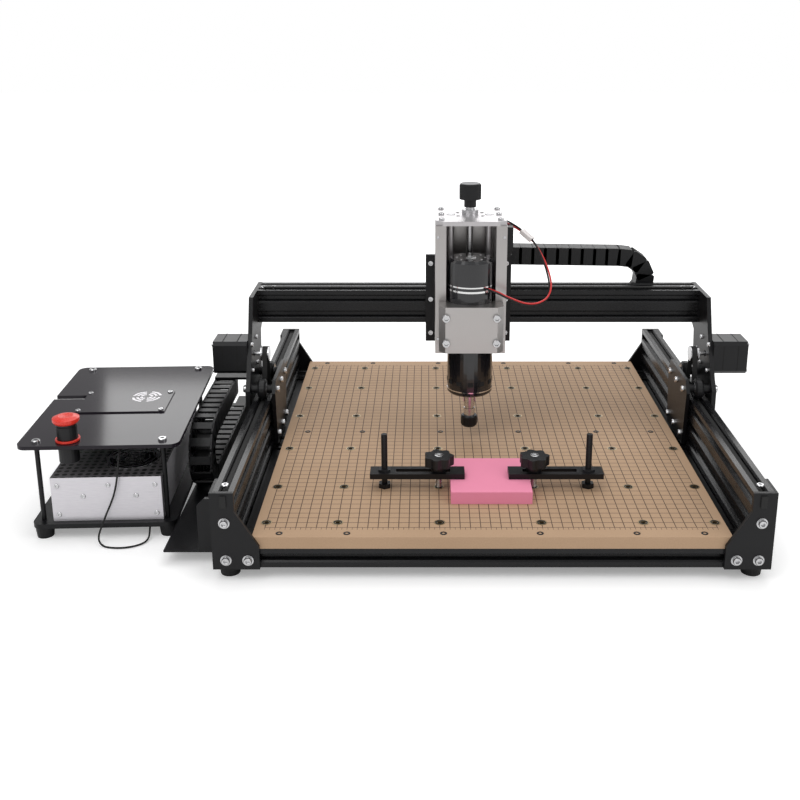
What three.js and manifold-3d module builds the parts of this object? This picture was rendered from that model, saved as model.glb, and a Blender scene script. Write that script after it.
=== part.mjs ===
// Desktop gantry CNC router with its control box, in millimetres, +Z up.
// The origin is the centre of the spoilboard's top face, the work surface.
// The frame runs along X and Y; the gantry moves along Y, the carriage along X, the spindle along Z.

import * as THREE from 'three';
import { mergeVertices } from 'three/addons/utils/BufferGeometryUtils.js';
import Module from 'manifold-3d';

const wasm = await Module();
wasm.setup();

// ---- Driving dimensions ----

const gap = 0.3; // clearance between pieces that rest on each other or slide
const footHeight = 13;
const footRadius = 11;

const slotMouth = 9.2; // V-slot width at the surface
const slotThroat = 6.2;
const slotLip = 1.8; // depth of the V
const slotRoom = 11; // width of the chamber behind the lips
const slotDepth = 6;
const module20 = 20; // extrusion grid

const railWidth = module20;
const railHeight = 4 * module20;
const railLength = 520;
const railCentre = 254.5; // from the machine's middle to each rail's middle

const crossbeamDepth = 2 * module20;
const boardWidth = 2 * (railCentre - 24.5);
const boardLength = railLength;
const boardThickness = 12;
const insertEdgeX = 10; // from the board's side to its outer holes
const insertEdgeY = 30;
const insertPlaces = [50, 150]; // the other holes, either side of the middle
const insertHoleRadius = 3.6;

const bracketThickness = 4;
const bracketFlange = 3; // thickness of the flange on the rail's outer face
const bracketFlangeLength = 28;
const bracketReach = 22; // how far the bracket's foot reaches inwards past the rail
const bracketKneeLow = 24;
const bracketKneeHigh = 60;

const plateThickness = 5; // gantry side plates
const gantryHalfSpan = railCentre + 13.5; // to each side plate's inner face
const gantryCentreY = 22; // middle of the wheels along Y
const wheelPitch = 64;
const gantryBeamSide = 2 * module20;
const gantryBeamFront = 62;
const gantryBeamBottom = footHeight + railHeight + 70;

const wheelRadius = 12;
const wheelWidth = 10;
const wheelRise = wheelRadius - slotLip; // from the extrusion face to the wheel axle
const wheelBore = 2.8;
const axleRadius = 2.5;
const axleShoulder = 5;

const motorSide = 39;
const motorLength = 40;
const motorCornerCut = 4;
const motorHeight = footHeight + railHeight + 44; // axis of the Y motors above the floor
const motorOffsetY = 20;
const pulleyRadius = 8;
const pulleyWidth = 10;
const shaftRadius = 2.5;
const shaftHole = 4;

const wheelPlateThickness = 4;
const wheelPlateInner = railCentre - 16.5; // the wheel plates' faces towards the work area
const wheelPlateBottom = footHeight + 23;
const wheelPlateTop = footHeight + railHeight + 23;

const carriageX = -13; // the carriage's middle, off centre as it is parked
const carriageHalfWidth = 51;
const carriageFront = 50;
const carriageThickness = 5;
const carriageBottom = gantryBeamBottom - 20;
const carriageTop = gantryBeamBottom + 87;
const carriageWheelPitch = 62;

const zFrameHalfWidth = 40;
const zFrameFront = -22;
const zFrameBottom = gantryBeamBottom - 12;
const zFrameTop = gantryBeamBottom + 136;
const zWall = 12;
const zBack = 6;
const zSole = 4; // the plate across the frame's bottom
const zTopPlate = 5;
const zTopPlateBack = 62;
const rodRadius = 4;
const rodSpacing = 44;
const rodY = 22;
const screwRadius = 4;
const knobRadius = 12.5;
const knobHeight = 18;
const knobRise = 18; // from the top plate to the knob

const spindleY = -14;
const spindleRadius = 26;
const spindleBottom = gantryBeamBottom - 58;
const spindleTop = gantryBeamBottom + 99;
const clampHalfWidth = 36;
const clampFront = -50;
const clampBottom = gantryBeamBottom - 3;
const clampTop = gantryBeamBottom + 50;
const nutRadius = 9.3;
const nutBottom = spindleBottom - 45.6;
const nutTop = nutBottom + 13.6;
const colletRadius = 6.5;
const shankRadius = 1.6; // the collet's bore
const shankDepth = 20;

const chainWidth = 25;
const chainHeight = 22;
const chainBendRadius = 39.5; // outer radius of the bend
const yChainOuterX = -(railCentre + 67.5);
const yChainBottom = 15.3;
const yChainBendY = -72;
const yChainRearY = 120;
const yChainTopEndY = 60;
const xChainFrontY = 105;
const xChainBottom = gantryBeamBottom + 3;
const xChainBendX = 182.5;
const xChainFixedX = -60;
const xChainTopEndX = 38.3;
const xChainRise = 2; // the upper run climbs this much towards the carriage

const trayThickness = 2;
const trayFrontY = 29 - railLength / 2;
const trayRearY = railLength / 2 - 60;
const trayOuterX = -(railCentre + 68.7);
const trayWallHeight = 44;
const trayGusset = { width: 21, height: 58, corner: 8 };

const boxTurn = THREE.MathUtils.degToRad(2.5); // the box stands at a slight angle to the frame
const boxWidth = 164;
const boxDepth = 244;
const boxBaseWidth = boxWidth - 16;
const boxCentre = new THREE.Vector2(-(railCentre + 66 + boxWidth / 2), -58.2);
const boxBaseThickness = 5;
const boxTopHeight = 105;
const boxTopThickness = 4;
const boxPost = { x: boxWidth / 2 - 18, y: boxDepth / 2 - 12, radius: 2.5 };
const boxLid = { x: 2, y: -1.3, width: 97, depth: 63, thickness: 1.5 };
const boxFootRadius = 10;
const boxNotch = { y: 18, depth: 34, width: 11 };
const supply = { width: 113, depth: 215, height: 49, x: 4, y: -8 };
const supplyFan = { x: 22, y: -68, radius: 29, pocket: 13 };
const board = { width: 120, depth: 96, x: 0, y: 50, thickness: 2, height: 80, standoff: 3 };
const stop = { x: -32.7, y: -106.5, collar: 12, body: 10.3, neck: 9.6, head: 13.5, stem: 4.5 };
const stopTravel = 3;

const clampStudX = insertPlaces[0];
const clampStudY = -insertPlaces[1];
const clampTip = 23; // the bar's inner end, from the machine's middle
const clampLength = 99;
const clampWidth = 20;
const clampThickness = 5.7;
const clampHeel = 107;
const clampSlotWidth = 7;
const heelBoltTop = 105;
const studRadius = 2.9;
const knobWing = 16;
const workpiece = { width: 83, depth: 84, height: 13, x: 3.5, y: -148 };

const leadRadius = 2.4;
const cableRadius = 1;

// ---- Derived places ----

const frameBottom = footHeight;
const mirrored = (places) => [...places.map((place) => -place), ...places];
const insertColumns = mirrored([...insertPlaces, boardWidth / 2 - insertEdgeX]);
const insertRows = mirrored([...insertPlaces, boardLength / 2 - insertEdgeY]);
const railTop = frameBottom + railHeight;
const crossbeamTop = frameBottom + module20;
const workTop = crossbeamTop + boardThickness;
const railInner = railCentre - railWidth / 2;
const railOuter = railCentre + railWidth / 2;
const railEnd = railLength / 2;
const gantryBeamTop = gantryBeamBottom + gantryBeamSide;
const yWheelZ = railTop + wheelRise;
const carriageBack = carriageFront + carriageThickness;
const supplyBase = footHeight + boxBaseThickness;
const supplyTop = supplyBase + supply.height;
const chainInnerRadius = chainBendRadius - chainHeight;

// ---- Materials ----

const material = (color, roughness, metalness) =>
  new THREE.MeshStandardMaterial({ color, roughness, metalness });

const blackAnodised = material(0x17171a, 0.4, 0.6);
const blackPaint = material(0x1a1a1c, 0.45, 0.3);
const blackPlastic = material(0x19191b, 0.55, 0);
const blackRubber = material(0x101010, 0.85, 0);
const blackAcrylic = material(0x2a292e, 0.12, 0);
const bareAluminium = material(0xb9b5b2, 0.35, 0.9);
const steel = material(0xc8c8ca, 0.25, 0.95);
const fibreboard = material(0xc49a76, 0.8, 0);
const foam = material(0xf29bb4, 0.7, 0);
const redPlastic = material(0xd8281f, 0.35, 0);
const supplySheet = material(0xd9d7dc, 0.35, 0.6);
const circuitGreen = material(0x1f5a3a, 0.5, 0.1);

// ---- Solid helpers ----

// Welds a geometry so that only positions are left, as a boolean needs.
function welded(geometry) {
  const bare = geometry.index ? geometry.toNonIndexed() : geometry.clone();
  bare.deleteAttribute('normal');
  bare.deleteAttribute('uv');
  return mergeVertices(bare, 1e-4);
}

function toSolid(geometry) {
  const clean = welded(geometry);
  return new wasm.Manifold(
    new wasm.Mesh({
      numProp: 3,
      vertProperties: new Float32Array(clean.attributes.position.array),
      triVerts: new Uint32Array(clean.index.array),
    }),
  );
}

function toGeometry(solid) {
  const mesh = solid.getMesh();
  const geometry = new THREE.BufferGeometry();
  geometry.setAttribute('position', new THREE.BufferAttribute(new Float32Array(mesh.vertProperties), 3));
  geometry.setIndex(new THREE.BufferAttribute(new Uint32Array(mesh.triVerts), 1));
  return geometry;
}

function joined(...geometries) {
  return toGeometry(geometries.map(toSolid).reduce((whole, piece) => whole.add(piece)));
}

function cut(geometry, ...tools) {
  return toGeometry(tools.map(toSolid).reduce((whole, tool) => whole.subtract(tool), toSolid(geometry)));
}

// A box given by its lowest and highest corners.
function block(x0, x1, y0, y1, z0, z1) {
  const geometry = new THREE.BoxGeometry(x1 - x0, y1 - y0, z1 - z0);
  return geometry.translate((x0 + x1) / 2, (y0 + y1) / 2, (z0 + z1) / 2);
}

// A cylinder from z0 to z1 whose axis is parallel to Z.
function upright(x, y, z0, z1, radius, sides = 24, topRadius = radius) {
  const geometry = new THREE.CylinderGeometry(topRadius, radius, z1 - z0, sides);
  return geometry.rotateX(Math.PI / 2).translate(x, y, (z0 + z1) / 2);
}

// A cylinder from x0 to x1 whose axis is parallel to X.
function lengthwise(y, z, x0, x1, radius, sides = 16) {
  const geometry = new THREE.CylinderGeometry(radius, radius, Math.abs(x1 - x0), sides);
  return geometry.rotateZ(Math.PI / 2).translate((x0 + x1) / 2, y, z);
}

// A cylinder from y0 to y1 whose axis is parallel to Y.
function crosswise(x, z, y0, y1, radius, sides = 16) {
  const geometry = new THREE.CylinderGeometry(radius, radius, y1 - y0, sides);
  return geometry.translate(x, (y0 + y1) / 2, z);
}

// A prism of an outline in the YZ plane, from x0 to x1.
function prismAlongX(outline, x0, x1) {
  const geometry = new THREE.ExtrudeGeometry(new THREE.Shape(outline), { depth: x1 - x0, bevelEnabled: false });
  return geometry.rotateX(Math.PI / 2).rotateZ(Math.PI / 2).translate(x0, 0, 0);
}

// A prism of an outline in the XZ plane, from y0 to y1.
function prismAlongY(outline, y0, y1) {
  const geometry = new THREE.ExtrudeGeometry(new THREE.Shape(outline), { depth: y1 - y0, bevelEnabled: false });
  return geometry.rotateX(Math.PI / 2).translate(0, y1, 0);
}

// A prism of an outline in the XY plane, from z0 to z1.
function prismAlongZ(shape, z0, z1, curveSegments = 4) {
  const geometry = new THREE.ExtrudeGeometry(shape, { depth: z1 - z0, bevelEnabled: false, curveSegments });
  return geometry.translate(0, 0, z0);
}

// A turned solid: profile points are [radius, height along +Z].
function turned(profile, sides = 24) {
  const points = profile.map(([radius, height]) => new THREE.Vector2(radius, height));
  return new THREE.LatheGeometry(points, sides).rotateX(Math.PI / 2);
}

const point = (x, y) => new THREE.Vector2(x, y);

// The outline of a V-slot extrusion, columns by rows of the 20 mm grid, centred on the origin.
function slotOutline(columns, rows) {
  const outline = [];
  const corners = [
    { start: [-columns, -rows], along: [1, 0], cells: columns },
    { start: [columns, -rows], along: [0, 1], cells: rows },
    { start: [columns, rows], along: [-1, 0], cells: columns },
    { start: [-columns, rows], along: [0, -1], cells: rows },
  ];
  for (const { start, along, cells } of corners) {
    const inward = [-along[1], along[0]];
    const origin = start.map((cell) => (cell * module20) / 2);
    const add = (run, depth) => {
      const u = origin[0] + along[0] * run + inward[0] * depth;
      const v = origin[1] + along[1] * run + inward[1] * depth;
      outline.push(point(u, v));
    };
    add(0, 0);
    for (let cell = 0; cell < cells; cell += 1) {
      const middle = (cell + 0.5) * module20;
      add(middle - slotMouth / 2, 0);
      add(middle - slotThroat / 2, slotLip);
      add(middle - slotRoom / 2, slotLip + 0.4);
      add(middle - slotThroat / 2, slotDepth);
      add(middle + slotThroat / 2, slotDepth);
      add(middle + slotRoom / 2, slotLip + 0.4);
      add(middle + slotThroat / 2, slotLip);
      add(middle + slotMouth / 2, 0);
    }
  }
  return outline;
}

const shifted = (outline, x, y) => outline.map((corner) => point(corner.x + x, corner.y + y));

function roundedRectangle(width, depth, radius) {
  const [x, y] = [width / 2, depth / 2];
  const shape = new THREE.Shape();
  shape.moveTo(-x + radius, -y);
  shape.lineTo(x - radius, -y);
  shape.absarc(x - radius, -y + radius, radius, -Math.PI / 2, 0);
  shape.lineTo(x, y - radius);
  shape.absarc(x - radius, y - radius, radius, 0, Math.PI / 2);
  shape.lineTo(-x + radius, y);
  shape.absarc(-x + radius, y - radius, radius, Math.PI / 2, Math.PI);
  shape.lineTo(-x, -y + radius);
  shape.absarc(-x + radius, -y + radius, radius, Math.PI, 1.5 * Math.PI);
  return shape;
}

const router = new THREE.Group();
router.position.z = -workTop;

function add(name, geometry, finish, parent = router) {
  const mesh = new THREE.Mesh(welded(geometry), finish);
  mesh.name = name;
  parent.add(mesh);
  return mesh;
}

const sides = [
  { name: 'left', sign: -1 },
  { name: 'right', sign: 1 },
];

// An x range on one side of the machine, mirrored for the left.
const span = (sign, near, far) => (sign > 0 ? [near, far] : [-far, -near]);

// ---- Base frame ----

function makeRails() {
  const outline = slotOutline(1, railHeight / module20);
  for (const { name, sign } of sides) {
    const rail = shifted(outline, sign * railCentre, frameBottom + railHeight / 2);
    add(`rail_${name}`, prismAlongY(rail, -railEnd, railEnd), blackAnodised);
  }
}

function makeCrossbeams() {
  const outline = slotOutline(2, 1);
  const rows = { front: -railEnd + crossbeamDepth / 2, middle: 0, rear: railEnd - crossbeamDepth / 2 };
  for (const [name, y] of Object.entries(rows)) {
    const beam = shifted(outline, y, frameBottom + module20 / 2);
    add(`crossbeam_${name}`, prismAlongX(beam, -railInner, railInner), blackAnodised);
  }
}

// A corner bracket: an end plate with a slanted inner edge and a flange on the rail's outer face.
function makeBrackets() {
  const inner = railInner - bracketReach;
  for (const { name, sign } of sides) {
    for (const [end, direction] of [['front', -1], ['rear', 1]]) {
      const outline = [
        [railOuter, frameBottom],
        [railOuter, railTop],
        [railInner, railTop],
        [railInner, frameBottom + bracketKneeHigh],
        [inner, frameBottom + bracketKneeLow],
        [inner, frameBottom],
      ].map(([x, z]) => point(sign * x, z));
      const faces = [direction * railEnd, direction * (railEnd + bracketThickness)].sort((a, b) => a - b);
      const plate = prismAlongY(sign > 0 ? outline : outline.reverse(), ...faces);
      const [x0, x1] = span(sign, railOuter, railOuter + bracketFlange);
      const ends = [direction * (railEnd + bracketThickness), direction * (railEnd - bracketFlangeLength)];
      ends.sort((a, b) => a - b);
      const flange = block(x0, x1, ends[0], ends[1], frameBottom, railTop);
      add(`bracket_${end}_${name}`, joined(plate, flange), blackPaint);
    }
  }
}

function makeFeet() {
  const inset = 15;
  for (const { name, sign } of sides) {
    for (const [end, direction] of [['front', -1], ['rear', 1]]) {
      const y = direction * (railEnd - inset);
      const foot = upright(sign * railCentre, y, 0, footHeight, footRadius - 1.5, 24, footRadius);
      add(`foot_${end}_${name}`, foot, blackRubber);
    }
  }
}

// The spoilboard with its grid of insert holes.
function makeSpoilboard() {
  const shape = new THREE.Shape([
    point(-boardWidth / 2, -boardLength / 2),
    point(boardWidth / 2, -boardLength / 2),
    point(boardWidth / 2, boardLength / 2),
    point(-boardWidth / 2, boardLength / 2),
  ]);
  for (const x of insertColumns) {
    for (const y of insertRows) {
      const hole = new THREE.Path();
      hole.absarc(x, y, insertHoleRadius, 0, 2 * Math.PI, true);
      shape.holes.push(hole);
    }
  }
  add('spoilboard', prismAlongZ(shape, crossbeamTop, workTop, 5), fibreboard);
}

// The cable chain's tray: a floor, a wall along the rail's outer face and a gusset across the front.
function makeChainTray() {
  const wallFace = -railOuter - gap;
  const wallInner = wallFace - trayThickness;
  const floor = block(trayOuterX, wallFace, trayFrontY, trayRearY, frameBottom, frameBottom + trayThickness);
  const wall = block(wallInner, wallFace, trayFrontY, trayRearY, frameBottom, frameBottom + trayWallHeight);
  const outer = wallInner - trayGusset.width;
  const top = frameBottom + trayGusset.height;
  const outline = [
    [outer, frameBottom],
    [wallFace, frameBottom],
    [wallFace, top],
    [outer + trayGusset.corner, top],
    [outer, top - trayGusset.corner],
  ].map(([x, z]) => point(x, z));
  const gusset = prismAlongY(outline, trayFrontY, trayFrontY + 2 * trayThickness);
  add('chain_tray', joined(floor, wall, gusset), blackPaint);
}

// ---- Cable chains ----

// The side outline of a run with a bend at its end. Points are [along, up].
function chainBend(centre, low, direction) {
  const middle = low + chainBendRadius;
  const steps = 10;
  const outer = [];
  const inner = [];
  for (let step = 0; step <= steps; step += 1) {
    const angle = -Math.PI / 2 + (Math.PI * step) / steps;
    const reach = direction * Math.cos(angle);
    outer.push([centre + reach * chainBendRadius, middle + Math.sin(angle) * chainBendRadius]);
    inner.push([centre + reach * chainInnerRadius, middle + Math.sin(angle) * chainInnerRadius]);
  }
  return { outer, inner };
}

function makeYChain() {
  const { outer, inner } = chainBend(yChainBendY, yChainBottom, -1);
  const top = yChainBottom + 2 * chainBendRadius;
  const upper = [...outer, [yChainTopEndY, top], [yChainTopEndY, top - chainHeight], ...inner.reverse()];
  const upperOutline = upper.map(([y, z]) => point(y, z)).reverse();
  const x0 = yChainOuterX;
  add('y_chain_upper', prismAlongX(upperOutline, x0, x0 + chainWidth), blackPlastic);
  const lower = block(x0, x0 + chainWidth, yChainBendY + gap, yChainRearY, yChainBottom, yChainBottom + chainHeight);
  add('y_chain_lower', lower, blackPlastic);
}

function makeXChain() {
  const { outer, inner } = chainBend(xChainBendX, xChainBottom, 1);
  const top = xChainBottom + 2 * chainBendRadius;
  const upper = [
    ...outer,
    [xChainTopEndX, top + xChainRise],
    [xChainTopEndX, top + xChainRise - chainHeight],
    ...inner.reverse(),
  ];
  const outline = upper.map(([x, z]) => point(x, z));
  add('x_chain_upper', prismAlongY(outline, xChainFrontY, xChainFrontY + chainWidth), blackPlastic);
  const lower = block(
    xChainFixedX,
    xChainBendX - gap,
    xChainFrontY,
    xChainFrontY + chainWidth,
    xChainBottom,
    xChainBottom + chainHeight,
  );
  add('x_chain_lower', lower, blackPlastic);
}

// ---- Wheels, pulleys and motors ----

// A V-wheel on the Z axis, its middle at height 0.
function vWheel() {
  const half = wheelWidth / 2;
  return turned(
    [
      [wheelBore, -half],
      [wheelRadius - 2.4, -half],
      [wheelRadius - 1.7, -4.2],
      [wheelRadius, -2.7],
      [wheelRadius, 2.7],
      [wheelRadius - 1.7, 4.2],
      [wheelRadius - 2.4, half],
      [wheelBore, half],
      [wheelBore, -half],
    ],
    20,
  );
}

// A stepper motor's body with cut corners, from height 0 down along -Z, centred on the axis.
function motorBody(side, length) {
  const half = side / 2;
  const near = half - motorCornerCut;
  const outline = [
    [near, -half],
    [half, -near],
    [half, near],
    [near, half],
    [-near, half],
    [-half, near],
    [-half, -near],
    [-near, -half],
  ].map(([x, y]) => point(x, y));
  return prismAlongZ(new THREE.Shape(outline), -length, 0);
}

// A toothed belt pulley with two flanges on the Z axis, its middle at height 0.
function pulley(shaftEnd) {
  const half = pulleyWidth / 2;
  return turned(
    [
      [0, -half],
      [pulleyRadius + 1, -half],
      [pulleyRadius + 1, -half + 1.2],
      [pulleyRadius - 1, -half + 1.2],
      [pulleyRadius - 1, half - 1.2],
      [pulleyRadius + 1, half - 1.2],
      [pulleyRadius + 1, half],
      [shaftRadius, half],
      [shaftRadius, shaftEnd],
      [0, shaftEnd],
    ],
    18,
  );
}

// ---- Gantry ----

const gantryProfile = [
  [-14, railTop - 33],
  [60, railTop - 33],
  [72, railTop - 17],
  [72, railTop + 19],
  [78, gantryBeamBottom - 13],
  [104, gantryBeamBottom],
  [104, gantryBeamTop],
  [30, gantryBeamTop],
  [14, gantryBeamBottom],
  [-12, railTop + 23],
  [-22, railTop + 11],
  [-22, railTop - 19],
].map(([y, z]) => point(y, z));

const wheelYs = [gantryCentreY - wheelPitch / 2, gantryCentreY + wheelPitch / 2];

function makeGantryPlates() {
  for (const { name, sign } of sides) {
    const [x0, x1] = span(sign, gantryHalfSpan, gantryHalfSpan + plateThickness);
    let plate = prismAlongX(gantryProfile, x0, x1);
    plate = cut(plate, lengthwise(motorOffsetY, motorHeight, x0 - 1, x1 + 1, shaftHole));
    const pieces = [plate];
    for (const y of wheelYs) {
      const shoulderEnd = railCentre + wheelWidth / 2 + gap;
      const [s0, s1] = span(sign, shoulderEnd, gantryHalfSpan + 1);
      const [a0, a1] = span(sign, wheelPlateInner + wheelPlateThickness, gantryHalfSpan + 1);
      pieces.push(lengthwise(y, yWheelZ, s0, s1, axleShoulder, 14));
      pieces.push(lengthwise(y, yWheelZ, a0, a1, axleRadius, 12));
    }
    if (sign < 0) {
      // the bent tab that holds the moving end of the Y cable chain
      const top = yChainBottom + 2 * chainBendRadius;
      pieces.push(block(yChainOuterX, -gantryHalfSpan - 1, yChainTopEndY - 14, yChainTopEndY + 4, top, top + 3));
    }
    add(`gantry_plate_${name}`, joined(...pieces), blackPaint);
  }
}

// The plate on each rail's inner side, with wheel spacers and the keeper that rides in the side slot.
function makeWheelPlates() {
  const outline = [
    [gantryCentreY - 38, wheelPlateBottom],
    [gantryCentreY + 38, wheelPlateBottom],
    [gantryCentreY + 46, wheelPlateTop - 14],
    [gantryCentreY + 38, wheelPlateTop],
    [gantryCentreY - 38, wheelPlateTop],
    [gantryCentreY - 46, wheelPlateTop - 14],
  ].map(([y, z]) => point(y, z));
  const outer = wheelPlateInner + wheelPlateThickness;
  const slotZ = frameBottom + 1.5 * module20;
  for (const { name, sign } of sides) {
    const pieces = [prismAlongX(outline, ...span(sign, wheelPlateInner, outer))];
    const keeper = [gantryCentreY - 36, gantryCentreY + 36];
    pieces.push(block(...span(sign, outer - 1, railInner - gap), ...keeper, slotZ - 5, slotZ + 11));
    pieces.push(block(...span(sign, outer - 1, railInner + 3.5), ...keeper, slotZ - 2.5, slotZ + 2.5));
    for (const y of wheelYs) {
      const [x0, x1] = span(sign, outer - 1, railCentre - wheelWidth / 2 - gap);
      pieces.push(lengthwise(y, yWheelZ, x0, x1, axleShoulder, 14));
    }
    let plate = joined(...pieces);
    for (const y of wheelYs) {
      const [x0, x1] = span(sign, outer, railCentre);
      plate = cut(plate, lengthwise(y, yWheelZ, x0, x1, axleRadius + gap, 12));
    }
    add(`wheel_plate_${name}`, plate, blackPaint);
  }
}

function makeYWheels() {
  for (const { name, sign } of sides) {
    wheelYs.forEach((y, index) => {
      const end = index === 0 ? 'front' : 'rear';
      const wheel = vWheel().rotateY(Math.PI / 2).translate(sign * railCentre, y, yWheelZ);
      add(`y_wheel_${name}_${end}`, wheel, blackPlastic);
    });
  }
}

function makeGantryBeam() {
  const outline = shifted(
    slotOutline(2, 2),
    gantryBeamFront + gantryBeamSide / 2,
    gantryBeamBottom + gantryBeamSide / 2,
  );
  add('gantry_beam', prismAlongX(outline, -gantryHalfSpan, gantryHalfSpan), blackAnodised);
}

function makeYDrives() {
  const face = gantryHalfSpan + plateThickness;
  for (const { name, sign } of sides) {
    const body = motorBody(motorSide, motorLength).rotateY((-sign * Math.PI) / 2);
    add(`y_motor_${name}`, body.translate(sign * face, motorOffsetY, motorHeight), blackPaint);
    const shaftEnd = face - railCentre - gap;
    const wheel = pulley(shaftEnd).rotateY((sign * Math.PI) / 2);
    add(`y_pulley_${name}`, wheel.translate(sign * railCentre, motorOffsetY, motorHeight), steel);
  }
}

// ---- X carriage ----

const carriageWheels = [
  { name: 'upper_left', x: -carriageWheelPitch / 2, z: gantryBeamTop + wheelRise },
  { name: 'upper_right', x: carriageWheelPitch / 2, z: gantryBeamTop + wheelRise },
  { name: 'lower_left', x: -carriageWheelPitch / 2, z: gantryBeamBottom - wheelRise },
  { name: 'lower_right', x: carriageWheelPitch / 2, z: gantryBeamBottom - wheelRise },
];
const carriageSlotY = gantryBeamFront + module20 / 2;
const xMotorZ = gantryBeamBottom + 67;
const xMotorFace = carriageSlotY + pulleyWidth / 2 + 2;
const xMotorLength = xChainFrontY - xMotorFace - 2;
const zMotorLength = zFrameTop - xMotorZ - motorSide / 2 - 6;

function makeCarriage() {
  const chainTop = xChainBottom + 2 * chainBendRadius + xChainRise;
  const wheelBack = carriageSlotY + wheelWidth / 2;
  const plate = block(
    carriageX - carriageHalfWidth,
    carriageX + carriageHalfWidth,
    carriageFront,
    carriageBack,
    carriageBottom,
    carriageTop,
  );
  const pieces = [plate];
  for (const { x, z } of carriageWheels) {
    pieces.push(crosswise(carriageX + x, z, carriageFront + 1, carriageSlotY - wheelWidth / 2 - gap, axleShoulder, 14));
    pieces.push(crosswise(carriageX + x, z, carriageFront + 1, wheelBack + 2, axleRadius, 12));
  }
  // the arm that holds the moving end of the X cable chain
  pieces.push(
    block(
      carriageX + carriageHalfWidth - 5,
      carriageX + carriageHalfWidth,
      carriageFront,
      xChainFrontY + chainWidth,
      chainTop - chainHeight + 2,
      chainTop - 4,
    ),
  );
  add('x_carriage', joined(...pieces), blackPaint);
  for (const { name, x, z } of carriageWheels) {
    const wheel = vWheel().rotateX(Math.PI / 2).translate(carriageX + x, carriageSlotY, z);
    add(`x_wheel_${name}`, wheel, blackPlastic);
  }
}

function makeXDrive() {
  const body = motorBody(motorSide, xMotorLength).rotateX(Math.PI / 2);
  body.translate(carriageX, xMotorFace, xMotorZ);
  const pieces = [body];
  const post = motorSide / 2 - motorCornerCut;
  for (const x of [-post, post]) {
    for (const z of [-post, post]) {
      pieces.push(crosswise(carriageX + x, xMotorZ + z, carriageBack, xMotorFace + 1, 2.5, 10));
    }
  }
  add('x_motor', joined(...pieces), blackPaint);
  const wheel = pulley(xMotorFace - carriageSlotY - gap).rotateX(-Math.PI / 2);
  add('x_pulley', wheel.translate(carriageX, carriageSlotY, xMotorZ), steel);
}

// ---- Z axis ----

function makeZFrame() {
  const [left, right] = [carriageX - zFrameHalfWidth, carriageX + zFrameHalfWidth];
  const back = carriageFront;
  const shell = block(left, right, zFrameFront, back, zFrameBottom, zFrameTop);
  const inside = block(left + zWall, right - zWall, zFrameFront - 1, back - zBack, zFrameBottom - 1, zFrameTop + 1);
  const sole = block(left + 1, right - 1, spindleY + spindleRadius + 2, back - 1, zFrameBottom, zFrameBottom + zSole);
  add('z_frame', joined(cut(shell, inside), sole), bareAluminium);

  const corner = 8;
  const top = new THREE.Shape(
    [
      [left, zFrameFront + corner],
      [left + corner, zFrameFront],
      [right - corner, zFrameFront],
      [right, zFrameFront + corner],
      [right, zTopPlateBack],
      [left, zTopPlateBack],
    ].map(([x, y]) => point(x, y)),
  );
  let plate = prismAlongZ(top, zFrameTop, zFrameTop + zTopPlate);
  plate = cut(plate, upright(carriageX, rodY, zFrameTop - 1, zFrameTop + zTopPlate + 1, screwRadius + gap, 20));
  const rods = [-rodSpacing / 2, rodSpacing / 2].map((x) =>
    upright(carriageX + x, rodY, zFrameBottom + zSole, zFrameTop + 1, rodRadius, 16),
  );
  add('z_top_plate', joined(plate, ...rods), bareAluminium);

  const motor = motorBody(motorSide, zMotorLength);
  add('z_motor', motor.translate(carriageX, carriageFront + gap + motorSide / 2, zFrameTop - gap), blackPaint);

  const knobBottom = zFrameTop + zTopPlate + knobRise;
  const screw = turned(
    [
      [0, zFrameBottom + zSole + gap],
      [screwRadius, zFrameBottom + zSole + gap],
      [screwRadius, zFrameTop + zTopPlate + gap],
      [7, zFrameTop + zTopPlate + gap],
      [7, knobBottom],
      [knobRadius, knobBottom],
      [knobRadius, knobBottom + knobHeight - 1],
      [knobRadius - 1, knobBottom + knobHeight],
      [0, knobBottom + knobHeight],
    ],
    24,
  );
  add('z_screw', screw.translate(carriageX, rodY, 0), steel);
}

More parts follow.
